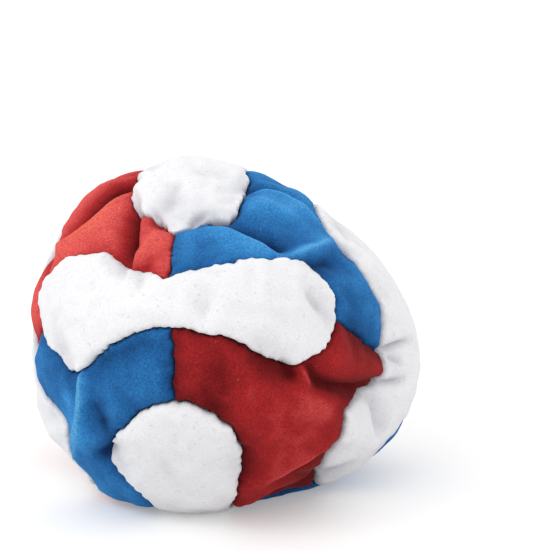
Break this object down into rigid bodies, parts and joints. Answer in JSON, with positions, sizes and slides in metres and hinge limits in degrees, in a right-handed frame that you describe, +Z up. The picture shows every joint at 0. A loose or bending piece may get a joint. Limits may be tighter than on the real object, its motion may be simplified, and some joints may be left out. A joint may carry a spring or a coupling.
{
  "type": "footbag",
  "caption": "Soft round footbag sewn from white dogbone panels and red and blue three-armed suede panels, filled with loose sand, for kicking and juggling",
  "frame": {"origin": "the middle of the resting bag's box, on the surface that it rests on", "axes": "+Z up; -Y is the front, the side that the picture shows; +X is to the right there"},
  "size_m": [0.0574, 0.054, 0.0476],
  "materials": {
    "white_suede": "matte",
    "red_suede": "matte",
    "blue_suede": "matte",
    "thread": "satin",
    "sand": "matte"
  },
  "bodies": {
    "cover": {"white_panel_front": "white_suede", "white_panel_back": "white_suede", "white_panel_right": "white_suede", "white_panel_left": "white_suede", "white_panel_top": "white_suede", "white_panel_bottom": "white_suede", "red_panel_front_top_left": "red_suede", "red_panel_front_bottom_right": "red_suede", "red_panel_back_top_right": "red_suede", "red_panel_back_bottom_left": "red_suede", "blue_panel_front_top_right": "blue_suede", "blue_panel_front_bottom_left": "blue_suede", "blue_panel_back_top_left": "blue_suede", "blue_panel_back_bottom_right": "blue_suede", "thread_round_front": "thread", "thread_round_back": "thread", "thread_round_right": "thread", "thread_round_left": "thread", "thread_round_top": "thread", "thread_round_bottom": "thread", "thread_front_to_right": "thread", "thread_front_to_left": "thread", "closing_thread_back_to_left": "thread", "thread_back_to_right": "thread", "thread_right_to_top": "thread", "thread_right_to_bottom": "thread", "thread_left_to_top": "thread", "thread_left_to_bottom": "thread", "thread_top_to_back": "thread", "thread_top_to_front": "thread", "thread_bottom_to_back": "thread", "thread_bottom_to_front": "thread"},
    "fill": {"sand_fill": "sand"}
  },
  "joints": [
    {"name": "fill_shift", "type": "slide", "parent": "cover", "child": "fill", "axis": [0, 0, 1], "range_m": [0, 0.006]}
  ]
}
